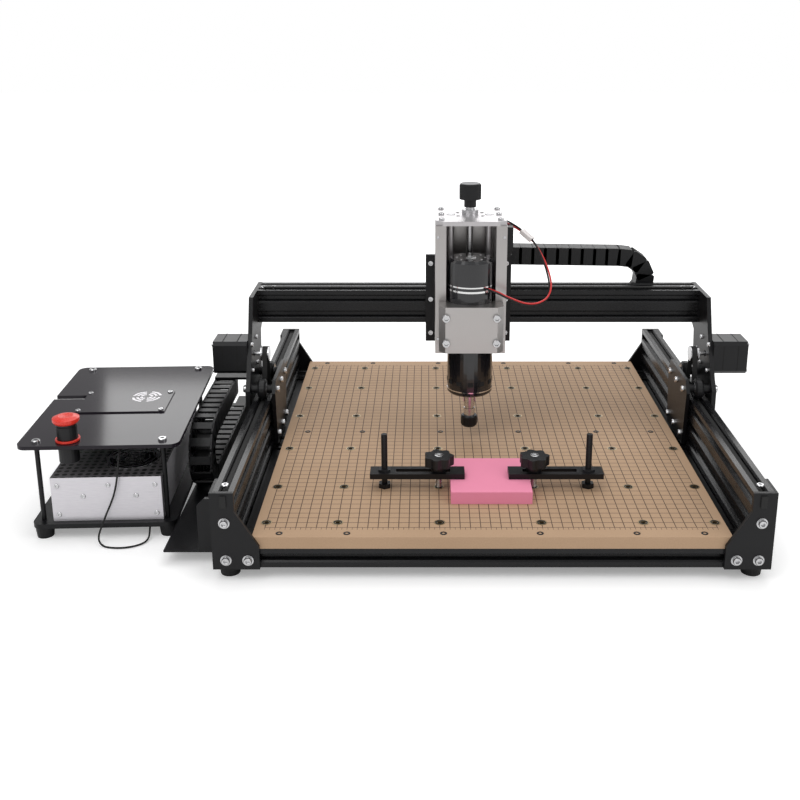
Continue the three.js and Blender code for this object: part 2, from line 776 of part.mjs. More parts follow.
// The clamp block that holds the spindle, with its bearing block on the rods and the lead nut.
function makeSpindle() {
  const walls = zFrameHalfWidth - zWall - gap;
  const rearFace = carriageFront - zBack - 2;
  const outline = [
    [-clampHalfWidth + 7, clampFront],
    [clampHalfWidth - 7, clampFront],
    [clampHalfWidth, clampFront + 7],
    [clampHalfWidth, zFrameFront - 1],
    [walls, zFrameFront - 1],
    [walls, rearFace],
    [-walls, rearFace],
    [-walls, zFrameFront - 1],
    [-clampHalfWidth, zFrameFront - 1],
    [-clampHalfWidth, clampFront + 7],
  ].map(([x, y]) => point(carriageX + x, y));
  const bore = upright(carriageX, spindleY, clampBottom - 1, clampTop + 1, spindleRadius + gap, 40);
  const holes = [-rodSpacing / 2, 0, rodSpacing / 2].map((x) =>
    upright(carriageX + x, rodY, clampBottom - 1, clampTop + 1, rodRadius + gap, 16),
  );
  const solid = prismAlongZ(new THREE.Shape(outline), clampBottom, clampTop);
  add('spindle_clamp', cut(solid, bore, ...holes), bareAluminium);

  const bearingRadius = 8;
  const shaftTop = spindleBottom + 20;
  const body = turned(
    [
      [bearingRadius, spindleBottom - 2],
      [spindleRadius - 2, spindleBottom - 2],
      [spindleRadius, spindleBottom],
      [spindleRadius, spindleTop - 3],
      [spindleRadius - 3, spindleTop],
      [0, spindleTop],
      [0, shaftTop],
      [bearingRadius, shaftTop],
      [bearingRadius, spindleBottom - 2],
    ],
    40,
  );
  add('spindle_motor', body.translate(carriageX, spindleY, 0), blackPaint);

  const collet = turned(
    [
      [shankRadius, nutBottom],
      [nutRadius - 1, nutBottom],
      [nutRadius, nutBottom + 1.5],
      [nutRadius, nutTop],
      [colletRadius, nutTop + 1],
      [colletRadius, spindleBottom - 4],
      [bearingRadius - gap, spindleBottom - 1],
      [bearingRadius - gap, shaftTop - gap],
      [0, shaftTop - gap],
      [0, nutBottom + shankDepth],
      [shankRadius, nutBottom + shankDepth],
      [shankRadius, nutBottom],
    ],
    24,
  );
  add('spindle_shaft', collet.translate(carriageX, spindleY, 0), steel);
}

// ---- Work clamps and workpiece ----

function makeClamps() {
  const barBottom = workTop + workpiece.height + gap;
  const barTop = barBottom + clampThickness;
  for (const { name, sign } of sides) {
    const [x0, x1] = span(sign, clampTip, clampTip + clampLength);
    const [y0, y1] = [clampStudY - clampWidth / 2, clampStudY + clampWidth / 2];
    const bar = block(x0, x1, y0, y1, barBottom, barTop);
    const slotHalf = clampSlotWidth / 2;
    const slot = block(...span(sign, clampTip + 15, clampTip + 72), clampStudY - slotHalf, clampStudY + slotHalf, 0, 100);
    const heel = sign * clampHeel;
    const boltHead = upright(heel, clampStudY, workTop + gap, workTop + 5, 6.8, 6);
    const bolt = upright(heel, clampStudY, workTop + 4, heelBoltTop, 3, 12);
    add(`clamp_bar_${name}`, joined(cut(bar, slot), boltHead, bolt), blackPaint);

    const stud = upright(sign * clampStudX, clampStudY, crossbeamTop + 2, barTop + 4, studRadius, 12);
    const neck = upright(sign * clampStudX, clampStudY, barTop + gap, barTop + 8, 8, 20, 10);
    const lobes = new THREE.Shape();
    const lobeCount = 7;
    const steps = 42;
    for (let step = 0; step < steps; step += 1) {
      const angle = (2 * Math.PI * step) / steps;
      const radius = knobWing - 1.6 + 1.6 * Math.cos(lobeCount * angle);
      const corner = [radius * Math.cos(angle), radius * Math.sin(angle)];
      if (step === 0) lobes.moveTo(...corner);
      else lobes.lineTo(...corner);
    }
    const head = prismAlongZ(lobes, barTop + 7, barTop + 17).translate(sign * clampStudX, clampStudY, 0);
    add(`clamp_knob_${name}`, joined(stud, neck, head), blackPlastic);
  }
  const { width, depth, height, x, y } = workpiece;
  add('workpiece', block(x - width / 2, x + width / 2, y - depth / 2, y + depth / 2, workTop, workTop + height), foam);
}

// ---- Control box ----

const controlBox = new THREE.Group();
controlBox.position.set(boxCentre.x, boxCentre.y, 0);
controlBox.rotation.z = boxTurn;
router.add(controlBox);

function makeBoxPlates() {
  const postTop = boxTopHeight - boxTopThickness - gap;
  const pieces = [prismAlongZ(roundedRectangle(boxBaseWidth, boxDepth, 10), footHeight, footHeight + boxBaseThickness)];
  for (const x of [-boxPost.x, boxPost.x]) {
    for (const y of [-boxPost.y, boxPost.y]) {
      pieces.push(upright(x, y, footHeight + 1, postTop, boxPost.radius, 10));
      pieces.push(upright(x, y, 0, footHeight + 1, boxFootRadius - 1.5, 20, boxFootRadius));
    }
  }
  add('box_base', joined(...pieces), blackPaint, controlBox);

  const low = boxTopHeight - boxTopThickness;
  const plate = prismAlongZ(roundedRectangle(boxWidth, boxDepth, 10), low, boxTopHeight);
  const notch = block(
    -boxWidth / 2 - 1,
    -boxWidth / 2 + boxNotch.depth,
    boxNotch.y - boxNotch.width / 2,
    boxNotch.y + boxNotch.width / 2,
    low - 1,
    boxTopHeight + 1,
  );
  const stopHole = upright(stop.x, stop.y, low - 1, boxTopHeight + 1, stop.body + gap, 24);
  const lid = block(
    boxLid.x - boxLid.width / 2,
    boxLid.x + boxLid.width / 2,
    boxLid.y - boxLid.depth / 2,
    boxLid.y + boxLid.depth / 2,
    boxTopHeight - 1,
    boxTopHeight + boxLid.thickness,
  );
  add('box_top_plate', joined(cut(plate, notch, stopHole), lid), blackAcrylic, controlBox);
}

function makeSupply() {
  const { width, depth, x, y } = supply;
  const low = supplyBase + gap;
  const casing = block(x - width / 2, x + width / 2, y - depth / 2, y + depth / 2, low, supplyTop);
  const floor = supplyTop - supplyFan.pocket;
  const pocket = upright(supplyFan.x, supplyFan.y, floor, supplyTop + 1, supplyFan.radius, 28);
  add('power_supply', cut(casing, pocket), supplySheet, controlBox);

  const bladeTop = supplyTop - 1.5;
  const hub = upright(supplyFan.x, supplyFan.y, floor + gap, bladeTop, 11, 18);
  const blades = [];
  const bladeCount = 7;
  for (let index = 0; index < bladeCount; index += 1) {
    const blade = block(9, supplyFan.radius - 2, -6, 6, -0.8, 0.8).rotateX(0.55);
    blade.rotateZ((2 * Math.PI * index) / bladeCount);
    blades.push(blade.translate(supplyFan.x, supplyFan.y, (floor + bladeTop) / 2 + 0.5));
  }
  add('supply_fan', joined(hub, ...blades), blackPlastic, controlBox);
}

function makeControlBoard() {
  const { width, depth, x, y, thickness, height, standoff } = board;
  const top = height + thickness;
  const pieces = [block(x - width / 2, x + width / 2, y - depth / 2, y + depth / 2, height, top)];
  const inset = 6;
  for (const dx of [-width / 2 + inset, width / 2 - inset]) {
    for (const dy of [-depth / 2 + inset, depth / 2 - inset]) {
      pieces.push(upright(x + dx, y + dy, top - 1, boxTopHeight - boxTopThickness - gap, standoff, 10));
    }
  }
  const driverCount = 4;
  const driverPitch = 24;
  for (let index = 0; index < driverCount; index += 1) {
    const dx = (index - (driverCount - 1) / 2) * driverPitch;
    pieces.push(block(x + dx - 8, x + dx + 8, y - 8, y + 8, top - 1, top + 9));
    pieces.push(block(x + dx - 9, x + dx + 9, y - depth / 2 + 2, y - depth / 2 + 11, top - 1, top + 8));
  }
  add('control_board', joined(...pieces), circuitGreen, controlBox);
}

function makeStopSwitch() {
  const plateTop = boxTopHeight;
  const low = plateTop - 22;
  const bodyTop = plateTop + 16.5;
  const neckTop = bodyTop + 3;
  const bore = stop.stem + gap;
  const housing = turned(
    [
      [bore, low],
      [stop.body, low],
      [stop.body, plateTop + gap],
      [stop.collar, plateTop + gap],
      [stop.collar, plateTop + 2.5],
      [stop.body, plateTop + 2.5],
      [stop.body, bodyTop],
      [stop.neck, bodyTop],
      [stop.neck, neckTop],
      [bore, neckTop],
      [bore, low],
    ],
    24,
  );
  add('stop_housing', housing.translate(stop.x, stop.y, 0), blackPlastic, controlBox);

  const rim = bodyTop + stopTravel + 0.5;
  const ceiling = neckTop + stopTravel + 0.5;
  const headTop = ceiling + 4;
  const button = turned(
    [
      [0, plateTop],
      [stop.stem, plateTop],
      [stop.stem, ceiling],
      [stop.neck + 0.6, ceiling],
      [stop.neck + 0.6, rim],
      [stop.head - 1.5, rim],
      [stop.head, rim + 2],
      [stop.head, rim + 5],
      [stop.head - 2.5, headTop - 0.8],
      [stop.head - 6, headTop],
      [0, headTop - 0.6],
    ],
    28,
  );
  add('stop_button', button.translate(stop.x, stop.y, 0), redPlastic, controlBox);
}

// ---- Loose wires ----

// A round lead swept along a smooth curve through chosen points.
function lead(points, radius, sectionSides, steps) {
  const knots = points.map(([x, y, z]) => new THREE.Vector3(x, y, z));
  const curve = new THREE.CatmullRomCurve3(knots, false, 'centripetal');
  const section = new THREE.Shape();
  for (let side = 0; side < sectionSides; side += 1) {
    const angle = (2 * Math.PI * side) / sectionSides;
    const corner = [radius * Math.cos(angle), radius * Math.sin(angle)];
    if (side === 0) section.moveTo(...corner);
    else section.lineTo(...corner);
  }
  return new THREE.ExtrudeGeometry(section, { steps, extrudePath: curve, bevelEnabled: false });
}

// The spindle's supply leads: out of the motor's side, round the frame's wall and up to the top plate.
function makeSpindleLead() {
  const route = [
    [5.7, -33.7, 230],
    [16, -42, 228],
    [28, -42, 222],
    [46, -38, 214],
    [62, -30, 212],
    [74, -22, 218],
    [77, -14, 232],
    [71, -4, 254],
    [60, 6, 274],
    [46, 16, 286],
    [35, 24, 292],
    [29.4, 30, 294],
  ];
  add('spindle_lead', lead(route, leadRadius, 8, 44), blackRubber);
}

// The sensor cable: out of the control box, down over its power supply and in a loop on the table.
function makeSensorCable() {
  const route = [
    [-377, -163, 99.5],
    [-378, -172, 90],
    [-379, -178.5, 72],
    [-384, -180.5, 50],
    [-394, -184, 26],
    [-400, -190, 8],
    [-394, -197, 1.6],
    [-380, -201, 1.3],
    [-366, -199, 1.3],
    [-355, -192, 1.5],
    [-351, -183, 3],
    [-352, -172, 8],
    [-354, -162, 10.8],
    [-356, -152, 11.7],
  ];
  add('sensor_cable', lead(route, cableRadius, 6, 48), blackRubber);
}

makeRails();
makeCrossbeams();
makeBrackets();
makeFeet();
makeSpoilboard();
makeChainTray();
makeYChain();
makeXChain();
makeGantryPlates();
makeWheelPlates();
makeYWheels();
makeGantryBeam();
makeYDrives();
makeCarriage();
makeXDrive();
makeZFrame();
makeSpindle();
makeClamps();
makeBoxPlates();
makeSupply();
makeControlBoard();
makeStopSwitch();
makeSpindleLead();
makeSensorCable();

export default router;
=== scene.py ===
import math

import bpy
from mathutils import Matrix, Vector


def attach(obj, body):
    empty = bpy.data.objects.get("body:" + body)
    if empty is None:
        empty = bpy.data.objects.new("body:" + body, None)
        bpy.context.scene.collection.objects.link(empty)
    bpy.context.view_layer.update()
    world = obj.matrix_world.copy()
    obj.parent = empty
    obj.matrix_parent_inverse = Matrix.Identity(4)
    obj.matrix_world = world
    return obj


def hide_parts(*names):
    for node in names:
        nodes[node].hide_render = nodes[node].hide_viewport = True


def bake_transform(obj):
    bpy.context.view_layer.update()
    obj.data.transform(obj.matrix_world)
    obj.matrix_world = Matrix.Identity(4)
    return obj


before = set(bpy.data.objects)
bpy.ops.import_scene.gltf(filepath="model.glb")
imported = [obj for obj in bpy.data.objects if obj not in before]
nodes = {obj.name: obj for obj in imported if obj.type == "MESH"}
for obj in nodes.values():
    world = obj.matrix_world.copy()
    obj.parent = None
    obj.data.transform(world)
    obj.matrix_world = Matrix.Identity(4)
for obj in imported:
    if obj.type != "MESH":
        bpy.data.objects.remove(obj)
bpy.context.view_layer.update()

# The floor lies this far below the work surface, which is the row's origin.
FLOOR = -0.045

# Places in millimetres above the floor, and directions.
RAIL_X = 254.5  # the middle of each side rail
AXLE_Z = 103.2  # the axles of the wheels on the side rails
CARRIAGE_X = -13  # the middle of the carriage, its screw and its spindle
SCREW_Y = 22
SPINDLE_Y = -14
STUD_X = 50
STUD_Y = -150
CHAIN_PITCH = 15.0
UP = (0, 0, 1)
FRONT = (0, -1, 0)


def at(x, y, z):
    """A point given in millimetres above the floor, in the row frame in metres."""
    return Vector((x / 1000, y / 1000, (z - 45) / 1000))


# ---- Camera ----

camera_data = bpy.data.cameras.new("camera")
camera_data.lens = 46.71
camera_data.sensor_width = 36
camera_data.shift_x = -0.03375
camera_data.shift_y = -0.11425
camera_data.clip_end = 30
camera = bpy.data.objects.new("camera", camera_data)
camera.location = at(-62.4, -1152.5, 526.2)
camera.rotation_euler = (math.radians(90 - 15.9), 0, 0)
bpy.context.scene.collection.objects.link(camera)
bpy.context.scene.camera = camera


# ---- Mesh building ----


def axes_of(direction):
    w = Vector(direction).normalized()
    helper = Vector((0, 0, 1)) if abs(w.z) < 0.9 else Vector((1, 0, 0))
    u = helper.cross(w).normalized()
    return u, w.cross(u), w


class Build:
    """Gathers simple closed shapes, in millimetres above the floor, into one mesh object."""

    def __init__(self, turn=None):
        self.verts = []
        self.faces = []
        self.turn = turn

    def add(self, points, faces):
        base = len(self.verts)
        self.verts += [Vector(p) for p in points]
        self.faces += [[base + i for i in f] for f in faces]
        return self

    def box(self, lo, hi):
        (x0, y0, z0), (x1, y1, z1) = lo, hi
        points = [(x, y, z) for z in (z0, z1) for y in (y0, y1) for x in (x0, x1)]
        faces = [(0, 2, 3, 1), (4, 5, 7, 6), (0, 1, 5, 4), (2, 6, 7, 3), (0, 4, 6, 2), (1, 3, 7, 5)]
        return self.add(points, faces)

    def lathe(self, profile, centre, direction, sides=24):
        """Profile points are (radius, height) or (radius, height, "hex") for a six-sided ring."""
        u, v, w = axes_of(direction)
        centre = Vector(centre)
        points = []
        rings = []
        for entry in profile:
            radius, height = entry[0], entry[1]
            if radius == 0:
                points.append(centre + w * height)
                rings.append([len(points) - 1])
                continue
            ring = []
            for i in range(sides):
                a = 2 * math.pi * i / sides
                r = radius
                if len(entry) > 2:
                    r = radius * math.cos(math.pi / 6) / math.cos((a % (math.pi / 3)) - math.pi / 6)
                points.append(centre + w * height + (u * math.cos(a) + v * math.sin(a)) * r)
                ring.append(len(points) - 1)
            rings.append(ring)
        faces = []
        for a, b in zip(rings, rings[1:]):
            for i in range(sides):
                j = (i + 1) % sides
                if len(a) == 1 and len(b) > 1:
                    faces.append((a[0], b[j], b[i]))
                elif len(b) == 1 and len(a) > 1:
                    faces.append((a[i], a[j], b[0]))
                elif len(a) > 1:
                    faces.append((a[i], a[j], b[j], b[i]))
        return self.add(points, faces)

    def ring(self, inner, outer, low, high, centre, direction, sides=32):
        profile = [(inner, low), (outer, low), (outer, high), (inner, high), (inner, low)]
        return self.lathe(profile, centre, direction, sides)

    def disc(self, radius, low, high, centre, direction, sides=32, chamfer=0.0):
        profile = [(0, low), (radius, low), (radius, high - chamfer), (radius - chamfer, high), (0, high)]
        return self.lathe(profile, centre, direction, sides)

    def screw(self, centre, direction, radius=4.2, height=3.2):
        """A socket cap screw's head with its six-sided socket."""
        profile = [
            (0, 0),
            (radius, 0),
            (radius, height * 0.7),
            (radius * 0.86, height),
            (radius * 0.56, height, "hex"),
            (radius * 0.52, height * 0.35, "hex"),
            (0, height * 0.3),
        ]
        return self.lathe(profile, centre, direction, 24)

    def prism(self, outline, origin, u, v, depth):
        """Extrudes an outline, given as (u, v) pairs, along u x v by depth."""
        u, v = Vector(u), Vector(v)
        w = u.cross(v) * depth
        low = [Vector(origin) + u * a + v * b for a, b in outline]
        count = len(outline)
        faces = [list(range(count))[::-1], list(range(count, 2 * count))]
        faces += [(i, (i + 1) % count, count + (i + 1) % count, count + i) for i in range(count)]
        return self.add(low + [p + w for p in low], faces)

    def tube(self, path, radius, sides=12):
        points = []
        previous = None
        for i, p in enumerate(path):
            ahead = path[min(i + 1, len(path) - 1)] - path[max(i - 1, 0)]
            w = ahead.normalized()
            helper = previous if previous is not None else axes_of(w)[0]
            u = (helper - w * helper.dot(w)).normalized()
            previous = u
            v = w.cross(u)
            for s in range(sides):
                a = 2 * math.pi * s / sides
                points.append(p + (u * math.cos(a) + v * math.sin(a)) * radius)
        faces = [list(range(sides))[::-1], [len(points) - sides + s for s in range(sides)]]
        for i in range(len(path) - 1):
            for s in range(sides):
                t = (s + 1) % sides
                faces.append((i * sides + s, i * sides + t, (i + 1) * sides + t, (i + 1) * sides + s))
        return self.add(points, faces)

    def make(self, name, material, slot, body=None, bevel=0.0, smooth=True):
        points = [p if self.turn is None else self.turn @ p for p in self.verts]
        mesh = bpy.data.meshes.new(name)
        mesh.from_pydata([at(*p) for p in points], [], self.faces)
        mesh.validate()
        mesh.update()
        obj = bpy.data.objects.new(name, mesh)
        bpy.context.scene.collection.objects.link(obj)
        obj.data.materials.append(material)
        if smooth:
            for polygon in mesh.polygons:
                polygon.use_smooth = True
            mesh.set_sharp_from_angle(angle=math.radians(32))
        if bevel:
            add_bevel(obj, bevel)
        if body:
            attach(obj, body)
        return obj


def add_bevel(obj, width, segments=2, angle=35):
    modifier = obj.modifiers.new("edge", "BEVEL")
    modifier.width = width
    modifier.segments = segments
    modifier.limit_method = "ANGLE"
    modifier.angle_limit = math.radians(angle)
    modifier.harden_normals = False


def smooth_path(route, step=2.0):
    """A Catmull-Rom curve through the route, as evenly spread points."""
    route = [Vector(p) for p in route]
    ends = [route[0] * 2 - route[1]] + route + [route[-1] * 2 - route[-2]]
    path = []
    for i in range(1, len(ends) - 2):
        a, b, c, d = ends[i - 1 : i + 3]
        count = max(2, int((c - b).length / step))
        for k in range(count):
            t = k / count
            path.append(
                0.5
                * (
                    2 * b
                    + (c - a) * t
                    + (2 * a - 5 * b + 4 * c - d) * t * t
                    + (3 * b - a - 3 * c + d) * t * t * t
                )
            )
    path.append(route[-1])
    return path


def length_of(path):
    return sum((b - a).length for a, b in zip(path, path[1:]))


# ---- Materials ----


class Nodes:
    """A short way to wire a material's nodes."""

    def __init__(self, material):
        self.tree = material.node_tree
        self.shader = self.tree.nodes["Principled BSDF"]
        self.coord = self.tree.nodes.new("ShaderNodeTexCoord")

    def math(self, operation, a, b=None, clamp=False):
        node = self.tree.nodes.new("ShaderNodeMath")
        node.operation = operation
        node.use_clamp = clamp
        for socket, value in zip(node.inputs, (a, b)):
            if value is None:
                continue
            if isinstance(value, (int, float)):
                socket.default_value = value
            else:
                self.tree.links.new(value, socket)
        return node.outputs[0]

    def mapped(self, scale, turn=0.0):
        node = self.tree.nodes.new("ShaderNodeMapping")
        node.inputs["Scale"].default_value = scale
        node.inputs["Rotation"].default_value = (0, 0, turn)
        self.tree.links.new(self.coord.outputs["Object"], node.inputs["Vector"])
        return node.outputs[0]

    def noise(self, scale, detail=4.0, stretch=(1, 1, 1)):
        node = self.tree.nodes.new("ShaderNodeTexNoise")
        node.inputs["Scale"].default_value = scale
        node.inputs["Detail"].default_value = detail
        self.tree.links.new(self.mapped(stretch), node.inputs["Vector"])
        return node.outputs["Fac"]

    def between(self, factor, low, high):
        node = self.tree.nodes.new("ShaderNodeMapRange")
        node.inputs["To Min"].default_value = low
        node.inputs["To Max"].default_value = high
        self.tree.links.new(factor, node.inputs["Value"])
        return node.outputs[0]

    def mix(self, factor, a, b):
        node = self.tree.nodes.new("ShaderNodeMix")
        node.data_type = "RGBA"
        self.tree.links.new(factor, node.inputs["Factor"])
        for socket, value in ((node.inputs["A"], a), (node.inputs["B"], b)):
            if isinstance(value, tuple):
                socket.default_value = (*value, 1)
            else:
                self.tree.links.new(value, socket)
        return node.outputs["Result"]

    def place(self):
        node = self.tree.nodes.new("ShaderNodeSeparateXYZ")
        self.tree.links.new(self.coord.outputs["Object"], node.inputs[0])
        return node.outputs

    def facing(self):
        geometry = self.tree.nodes.new("ShaderNodeNewGeometry")
        node = self.tree.nodes.new("ShaderNodeSeparateXYZ")
        self.tree.links.new(geometry.outputs["Normal"], node.inputs[0])
        return node.outputs

    def bump(self, height, strength, distance=0.0004):
        node = self.tree.nodes.new("ShaderNodeBump")
        node.inputs["Strength"].default_value = strength
        node.inputs["Distance"].default_value = distance
        self.tree.links.new(height, node.inputs["Height"])
        self.tree.links.new(node.outputs[0], self.shader.inputs["Normal"])

    def colour(self, value):
        self.tree.links.new(value, self.shader.inputs["Base Color"])

    def rough(self, value):
        self.tree.links.new(value, self.shader.inputs["Roughness"])


def surface(
    name,
    colour,
    rough,
    metal=0.0,
    vary=0.12,
    grain=900.0,
    bump=0.12,
    stretch=(1, 1, 1),
    coat=0.0,
    shine=0.5,
):
    """A finish with slow changes of shade, fine grain in its gloss and a matching bump."""
    material = bpy.data.materials.new(name)
    material.use_nodes = True
    n = Nodes(material)
    n.shader.inputs["Metallic"].default_value = metal
    n.shader.inputs["Coat Weight"].default_value = coat
    n.shader.inputs["Specular IOR Level"].default_value = shine
    slow = n.noise(14.0, 3.0)
    fine = n.noise(grain, 5.0, stretch)
    dark = tuple(c * (1 - vary) for c in colour)
    light = tuple(min(1.0, c * (1 + vary)) for c in colour)
    tone = n.math("ADD", n.math("MULTIPLY", slow, 0.6), n.math("MULTIPLY", fine, 0.4))
    n.colour(n.mix(tone, dark, light))
    n.rough(n.between(fine, max(0.03, rough * 0.8), min(1.0, rough * 1.2)))
    n.bump(fine, bump)
    return material


black_anodised = surface(
    "black_anodised", (0.008, 0.008, 0.009), 0.27, 0.25, 0.2, 1500, 0.06, (1, 0.06, 1), shine=0.4
)
beam_anodised = surface(
    "beam_anodised", (0.008, 0.008, 0.009), 0.27, 0.25, 0.2, 1500, 0.06, (0.06, 1, 1), shine=0.4
)
black_paint = surface("black_paint", (0.006, 0.006, 0.007), 0.36, 0.0, 0.2, 2200, 0.18, shine=0.3)
motor_gloss = surface("motor_gloss", (0.008, 0.008, 0.01), 0.16, 0.0, 0.15, 500, 0.02, coat=0.5)
motor_satin = surface("motor_satin", (0.008, 0.008, 0.009), 0.34, 0.15, 0.15, 1600, 0.12, shine=0.35)
black_plastic = surface("black_plastic", (0.008, 0.008, 0.009), 0.38, 0.0, 0.2, 2600, 0.25, shine=0.35)
insert_brass = surface("insert_brass", (0.36, 0.28, 0.16), 0.32, 0.9, 0.15, 900, 0.08)
rubber = surface("rubber", (0.01, 0.01, 0.01), 0.75, 0.0, 0.25, 3000, 0.4)
acrylic = surface("acrylic", (0.016, 0.013, 0.018), 0.1, 0.0, 0.1, 300, 0.01, shine=0.22)
aluminium = surface("aluminium", (0.5, 0.48, 0.47), 0.32, 0.95, 0.07, 1400, 0.1, (1, 1, 0.03))
plate_aluminium = surface("plate_aluminium", (0.62, 0.6, 0.61), 0.36, 0.9, 0.05, 1200, 0.08, (0.05, 1, 1))
steel = surface("steel", (0.62, 0.62, 0.63), 0.22, 1.0, 0.08, 900, 0.05)
chrome = surface("chrome", (0.8, 0.8, 0.8), 0.1, 1.0, 0.03, 400, 0.01)
dark_steel = surface("dark_steel", (0.05, 0.05, 0.055), 0.35, 0.8, 0.2, 1200, 0.1)
sheet_metal = surface("sheet_metal", (0.72, 0.7, 0.73), 0.34, 0.55, 0.05, 1100, 0.06, (0.08, 1, 1))
red_plastic = surface("red_plastic", (0.72, 0.035, 0.02), 0.28, 0.0, 0.1, 900, 0.04)
red_wire = surface("red_wire", (0.6, 0.02, 0.02), 0.4, 0.0, 0.12, 1500, 0.1)
white_plastic = surface("white_plastic", (0.74, 0.7, 0.69), 0.4, 0.0, 0.06, 1500, 0.1)
circuit = surface("circuit", (0.02, 0.09, 0.05), 0.35, 0.0, 0.3, 500, 0.2)
foam = surface("foam", (0.86, 0.28, 0.42), 0.85, 0.0, 0.09, 1300, 0.5)
dark_hole = surface("dark_hole", (0.004, 0.004, 0.004), 0.8, 0.0, 0.1, 1000, 0.1)


def board_finish():
    """Sanded fibreboard: a fibrous edge, and a printed 10 mm grid with edge ticks on its top."""
    material = bpy.data.materials.new("gridded_fibreboard")
    material.use_nodes = True
    n = Nodes(material)
    x, y, _ = n.place()
    up = n.facing()[2]
    fibre = n.noise(700.0, 6.0)
    cloud = n.noise(9.0, 3.0)
    tone = n.math("ADD", n.math("MULTIPLY", fibre, 0.55), n.math("MULTIPLY", cloud, 0.45))
    board = n.mix(tone, (0.36, 0.225, 0.13), (0.55, 0.375, 0.24))

    def lines(value, pitch, width):
        shifted = n.math("ADD", n.math("DIVIDE", value, pitch), 0.5)
        offset = n.math("ABSOLUTE", n.math("SUBTRACT", n.math("FRACT", shifted), 0.5))
        return n.math("LESS_THAN", offset, width / pitch / 2)

    def within(value, limit):
        return n.math("LESS_THAN", n.math("ABSOLUTE", value), limit)

    inside = n.math("MULTIPLY", within(x, 0.2205), within(y, 0.2405))
    grid = n.math("MULTIPLY", n.math("MAXIMUM", lines(x, 0.01, 0.0009), lines(y, 0.01, 0.0009)), inside)
    ruler_area = n.math("MULTIPLY", within(y, 0.2445), within(x, 0.2205))
    ruler = n.math("MULTIPLY", lines(x, 0.005, 0.0005), ruler_area)
    ruler = n.math("MULTIPLY", ruler, n.math("SUBTRACT", 1.0, within(y, 0.2405)))
    marks = n.math("MAXIMUM", grid, ruler)
    top = n.math("GREATER_THAN", up, 0.5)
    ink = n.math("MULTIPLY", n.math("MULTIPLY", marks, top), n.between(fibre, 0.7, 1.0))
    n.colour(n.mix(ink, board, (0.035, 0.018, 0.012)))
    n.rough(n.between(fibre, 0.6, 0.85))
    n.bump(fibre, 0.35)
    return material


def perforated_finish():
    """The power supply's casing: bare sheet with a dark top pierced by rows of small round holes."""
    material = bpy.data.materials.new("perforated_sheet")
    material.use_nodes = True
    n = Nodes(material)
    turned = n.mapped((125.0, 125.0, 125.0), math.radians(-2.5))
    cell = n.tree.nodes.new("ShaderNodeVectorMath")
    cell.operation = "FRACTION"
    n.tree.links.new(turned, cell.inputs[0])
    parts = n.tree.nodes.new("ShaderNodeSeparateXYZ")
    n.tree.links.new(cell.outputs[0], parts.inputs[0])
    dx = n.math("SUBTRACT", parts.outputs[0], 0.5)
    dy = n.math("SUBTRACT", parts.outputs[1], 0.5)
    distance = n.math("ADD", n.math("MULTIPLY", dx, dx), n.math("MULTIPLY", dy, dy))
    up = n.math("GREATER_THAN", n.facing()[2], 0.5)
    hole = n.math("MULTIPLY", n.math("LESS_THAN", distance, 0.11), up)
    fine = n.noise(1100.0, 4.0, (0.1, 1, 1))
    bare = n.mix(fine, (0.66, 0.64, 0.68), (0.8, 0.78, 0.81))
    casing = n.mix(up, bare, (0.2, 0.19, 0.2))
    n.colour(n.mix(hole, casing, (0.006, 0.006, 0.006)))
    n.shader.inputs["Metallic"].default_value = 0.55
    n.rough(n.between(fine, 0.28, 0.42))
    n.bump(n.math("SUBTRACT", 1.0, hole), 0.4)
    return material


board_material = board_finish()
supply_material = perforated_finish()


def dress(name, material, bevel=0.0):
    obj = nodes[name]
    obj.data.materials.clear()
    obj.data.materials.append(material)
    if bevel:
        add_bevel(obj, bevel / 1000)


for side in ("left", "right"):
    dress(f"rail_{side}", black_anodised, 0.35)
    dress(f"gantry_plate_{side}", black_paint, 0.5)
    dress(f"wheel_plate_{side}", black_paint, 0.4)
    dress(f"y_motor_{side}", motor_satin, 0.6)
    dress(f"y_pulley_{side}", steel)
    dress(f"clamp_bar_{side}", black_paint, 0.6)
    dress(f"clamp_knob_{side}", black_plastic, 0.8)
    for end in ("front", "rear"):
        dress(f"bracket_{end}_{side}", black_paint, 0.5)
        dress(f"foot_{end}_{side}", rubber, 0.8)
        dress(f"y_wheel_{side}_{end}", black_plastic, 0.2)
    for row in ("upper", "lower"):
        dress(f"x_wheel_{row}_{side}", black_plastic, 0.2)
for place in ("front", "middle", "rear"):
    dress(f"crossbeam_{place}", beam_anodised, 0.35)
dress("gantry_beam", beam_anodised, 0.35)
dress("spoilboard", board_material, 0.4)
dress("chain_tray", black_paint, 0.3)
dress("x_carriage", black_paint, 0.6)
dress("x_motor", motor_satin, 0.6)
dress("z_motor", motor_satin, 0.6)
dress("x_pulley", steel)
dress("z_frame", aluminium, 0.5)
dress("z_top_plate", plate_aluminium, 0.6)
dress("z_screw", steel, 0.2)
dress("spindle_clamp", aluminium, 1.0)
dress("spindle_motor", motor_gloss, 0.8)
dress("spindle_shaft", steel, 0.2)
dress("workpiece", foam, 0.7)
dress("box_base", black_paint, 0.5)
dress("box_top_plate", acrylic, 0.4)
dress("power_supply", supply_material, 0.4)
dress("supply_fan", black_plastic, 0.3)
dress("control_board", circuit, 0.2)
dress("stop_housing", black_plastic, 0.3)
dress("stop_button", red_plastic, 0.8)

# ---- Cords ----

lead_route = [
    (5.7, -33.7, 230),
    (16, -42, 228),
    (28, -42, 222),
    (46, -38, 214),
    (62, -30, 212),
    (74, -22, 218),
    (77, -14, 232),
    (71, -4, 254),
    (60, 6, 274),
    (46, 16, 286),
    (35, 24, 292),
    (29.4, 30, 294),
]
lead_path = smooth_path(lead_route)


